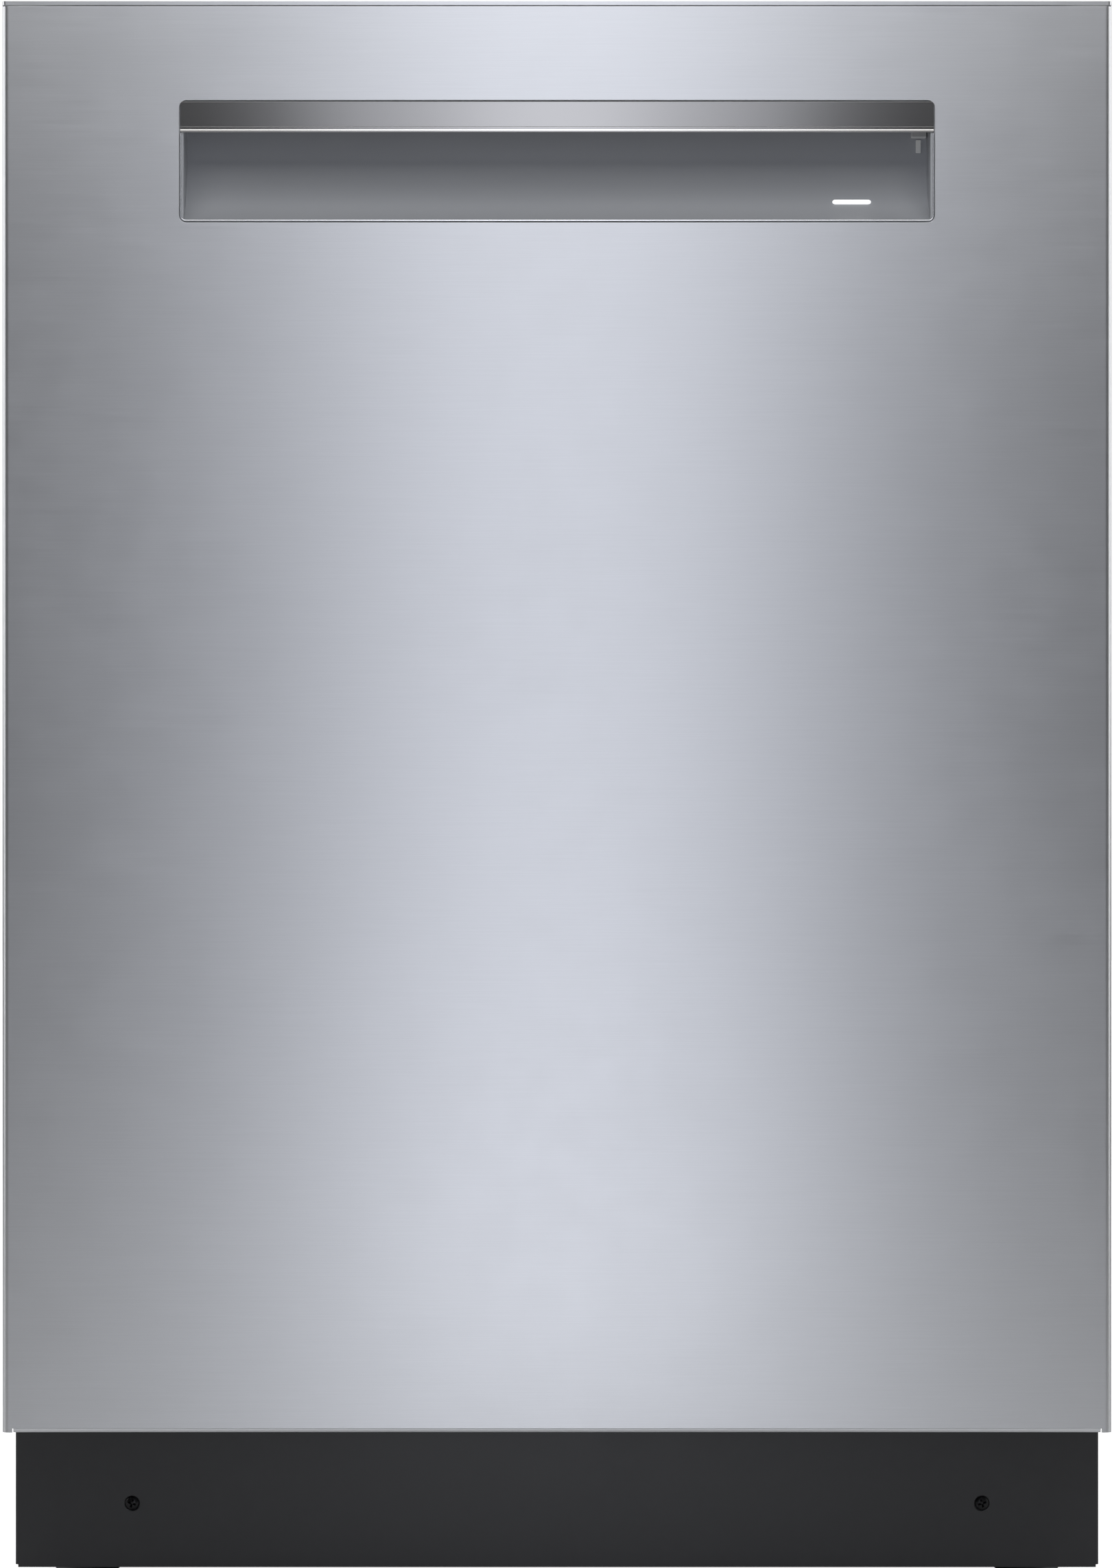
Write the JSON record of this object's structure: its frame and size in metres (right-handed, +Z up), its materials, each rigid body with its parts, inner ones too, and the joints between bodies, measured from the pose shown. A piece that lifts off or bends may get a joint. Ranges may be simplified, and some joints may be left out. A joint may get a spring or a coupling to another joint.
{
  "type": "built-in dishwasher",
  "caption": "Built-in dishwasher with a drop-down steel door, pocket handle, hidden top controls, sliding wire racks, spray arms, black kick plate and levelling feet.",
  "frame": {"origin": "middle of the footprint, on the floor", "axes": "+X to the right, -Y towards the door's face, +Z up"},
  "size_m": [0.598, 0.603, 0.86],
  "materials": {
    "steel_panel": "satin",
    "bright_steel": "polished",
    "tub_steel": "satin",
    "galvanised_steel": "satin",
    "black_painted_steel": "matte",
    "black_screw": "satin",
    "base_plastic": "matte",
    "grey_plastic": "satin",
    "pocket_plastic": "satin",
    "dark_plastic": "satin",
    "white_plastic": "satin",
    "light_window": "gloss",
    "smoked_window": "gloss",
    "rubber_seal": "matte",
    "hose_rubber": "matte",
    "bitumen_felt": "matte",
    "circuit_board": "satin",
    "coated_wire": "satin",
    "rack_plastic": "satin",
    "spring_steel": "satin",
    "cap_plastic": "satin"
  },
  "bodies": {
    "cabinet": {"base_pan": "base_plastic", "tub_wrapper": "tub_steel", "tub_back_wall": "tub_steel", "tub_floor": "tub_steel", "door_seal": "rubber_seal", "sound_blanket": "bitumen_felt", "top_brackets": "galvanised_steel", "kick_plate": "black_painted_steel", "kick_screws": "black_screw", "hinge_brackets": "galvanised_steel", "door_springs": "spring_steel", "junction_box": "galvanised_steel", "inlet_valve": "white_plastic", "drain_spigot": "dark_plastic", "sump": "dark_plastic", "circulation_pump": "dark_plastic", "drain_pump": "dark_plastic", "internal_hoses": "hose_rubber", "filter_plate": "tub_steel", "lower_arm_hub": "dark_plastic", "feed_tube": "dark_plastic", "slide_rails": "galvanised_steel", "door_strike": "galvanised_steel"},
    "door": {"outer_panel": "steel_panel", "handle_bar": "bright_steel", "handle_pocket": "pocket_plastic", "status_light": "light_window", "control_fascia": "steel_panel", "display_window": "smoked_window", "inner_liner": "tub_steel", "door_insulation": "bitumen_felt", "control_board": "circuit_board", "dispenser_body": "grey_plastic", "latch_body": "dark_plastic", "hinge_arms": "galvanised_steel"},
    "spring_rods": {"spring_rods": "galvanised_steel"},
    "filter_cup": {"filter_cup": "grey_plastic"},
    "foot_front_left": {"foot_front_left": "dark_plastic"},
    "foot_front_right": {"foot_front_right": "dark_plastic"},
    "feet_rear": {"feet_rear": "dark_plastic"},
    "dispenser_lid": {"dispenser_lid": "grey_plastic"},
    "rinse_aid_cap": {"rinse_aid_cap": "cap_plastic"},
    "latch_hook": {"latch_hook": "spring_steel"},
    "power_button": {"power_button": "dark_plastic"},
    "cycle_button": {"cycle_button": "dark_plastic"},
    "option_button": {"option_button": "dark_plastic"},
    "start_button": {"start_button": "dark_plastic"},
    "lower_rack": {"lower_rack": "coated_wire"},
    "wheels_front": {"wheels_front": "rack_plastic"},
    "wheels_rear": {"wheels_rear": "rack_plastic"},
    "folding_tines": {"folding_tines": "coated_wire"},
    "cutlery_basket": {"cutlery_basket": "rack_plastic"},
    "slide_middles": {"slide_middles": "galvanised_steel"},
    "slide_inners": {"slide_inners": "galvanised_steel"},
    "upper_rack": {"upper_rack": "coated_wire"},
    "cup_shelf": {"cup_shelf": "rack_plastic"},
    "middle_arm": {"middle_arm": "grey_plastic"},
    "third_rack": {"third_rack": "coated_wire"},
    "lower_arm": {"lower_arm": "grey_plastic"},
    "float_cap": {"float_cap": "white_plastic"}
  },
  "joints": [
    {"name": "door_hinge", "type": "hinge", "parent": "cabinet", "child": "door", "pos_m": [0, -0.256, 0.105], "axis": [1, 0, 0], "range_deg": [0, 90], "stiffness_Nm_per_rad": 22, "springref_deg": -8.59},
    {"name": "spring_rod_slide", "type": "slide", "parent": "cabinet", "child": "spring_rods", "axis": [0, 0, 1], "range_m": [0, 0.04], "deforming": ["door_springs"]},
    {"name": "lower_rack_slide", "type": "slide", "parent": "cabinet", "child": "lower_rack", "axis": [0, -1, 0], "range_m": [0, 0.1415]},
    {"name": "front_wheel_spin", "type": "hinge", "parent": "lower_rack", "child": "wheels_front", "pos_m": [0, -0.0945, 0.1881], "axis": [1, 0, 0], "continuous": true},
    {"name": "rear_wheel_spin", "type": "hinge", "parent": "lower_rack", "child": "wheels_rear", "pos_m": [0, 0.1895, 0.1881], "axis": [1, 0, 0], "continuous": true},
    {"name": "tine_fold", "type": "hinge", "parent": "lower_rack", "child": "folding_tines", "pos_m": [0, -0.02, 0.20745], "axis": [1, 0, 0], "range_deg": [-80, 0]},
    {"name": "cutlery_basket_lift", "type": "slide", "parent": "lower_rack", "child": "cutlery_basket", "axis": [0, 0, 1], "range_m": [0, 0.08]},
    {"name": "upper_slide_first_stage", "type": "slide", "parent": "cabinet", "child": "slide_middles", "axis": [0, -1, 0], "range_m": [0, 0.22]},
    {"name": "upper_slide_second_stage", "type": "slide", "parent": "slide_middles", "child": "slide_inners", "axis": [0, -1, 0], "range_m": [0, 0.22]},
    {"name": "upper_rack_height", "type": "slide", "parent": "slide_inners", "child": "upper_rack", "axis": [0, 0, 1], "range_m": [0, 0.04]},
    {"name": "cup_shelf_fold", "type": "hinge", "parent": "upper_rack", "child": "cup_shelf", "pos_m": [-0.2342, 0, 0.544], "axis": [0, -1, 0], "range_deg": [0, 88]},
    {"name": "middle_arm_spin", "type": "hinge", "parent": "upper_rack", "child": "middle_arm", "pos_m": [0, 0.02, 0.444], "axis": [0, 0, 1], "continuous": true},
    {"name": "third_rack_slide", "type": "slide", "parent": "cabinet", "child": "third_rack", "axis": [0, -1, 0], "range_m": [0, 0.3]},
    {"name": "lower_arm_spin", "type": "hinge", "parent": "cabinet", "child": "lower_arm", "pos_m": [0, 0.02, 0.18], "axis": [0, 0, 1], "continuous": true},
    {"name": "filter_twist", "type": "hinge", "parent": "cabinet", "child": "filter_cup", "pos_m": [0, -0.08, 0.13], "axis": [0, 0, 1], "range_deg": [0, 90]},
    {"name": "float_lift", "type": "slide", "parent": "cabinet", "child": "float_cap", "axis": [0, 0, 1], "range_m": [0, 0.012]},
    {"name": "front_left_foot_screw", "type": "slide", "parent": "cabinet", "child": "foot_front_left", "axis": [0, 0, -1], "range_m": [0, 0.02]},
    {"name": "front_right_foot_screw", "type": "slide", "parent": "cabinet", "child": "foot_front_right", "axis": [0, 0, -1], "range_m": [0, 0.02]},
    {"name": "rear_feet_screw", "type": "slide", "parent": "cabinet", "child": "feet_rear", "axis": [0, 0, -1], "range_m": [0, 0.02]},
    {"name": "detergent_lid_slide", "type": "slide", "parent": "door", "child": "dispenser_lid", "axis": [0, 0, 1], "range_m": [0, 0.072]},
    {"name": "rinse_aid_cap_twist", "type": "hinge", "parent": "door", "child": "rinse_aid_cap", "pos_m": [0.056, -0.24, 0.475], "axis": [0, 1, 0], "range_deg": [0, 90]},
    {"name": "latch_hook_lift", "type": "hinge", "parent": "door", "child": "latch_hook", "pos_m": [0, -0.2605, 0.8325], "axis": [1, 0, 0], "range_deg": [0, 16], "stiffness_Nm_per_rad": 0.4},
    {"name": "power_button_press", "type": "slide", "parent": "door", "child": "power_button", "axis": [0, 0, -1], "range_m": [0, 0.001], "stiffness_N_per_m": 400},
    {"name": "cycle_button_press", "type": "slide", "parent": "door", "child": "cycle_button", "axis": [0, 0, -1], "range_m": [0, 0.001], "stiffness_N_per_m": 400},
    {"name": "option_button_press", "type": "slide", "parent": "door", "child": "option_button", "axis": [0, 0, -1], "range_m": [0, 0.001], "stiffness_N_per_m": 400},
    {"name": "start_button_press", "type": "slide", "parent": "door", "child": "start_button", "axis": [0, 0, -1], "range_m": [0, 0.001], "stiffness_N_per_m": 400}
  ],
  "couplings": [
    {"joint": "spring_rod_slide", "follows": "door_hinge", "m_per_rad": 0.025},
    {"joint": "lower_rack_slide", "follows": "door_hinge", "m_per_rad": 0.09},
    {"joint": "front_wheel_spin", "follows": "door_hinge", "ratio": 5},
    {"joint": "rear_wheel_spin", "follows": "door_hinge", "ratio": 5},
    {"joint": "upper_slide_first_stage", "follows": "door_hinge", "m_per_rad": 0.14},
    {"joint": "upper_slide_second_stage", "follows": "door_hinge", "m_per_rad": 0.14},
    {"joint": "third_rack_slide", "follows": "door_hinge", "m_per_rad": 0.19}
  ]
}
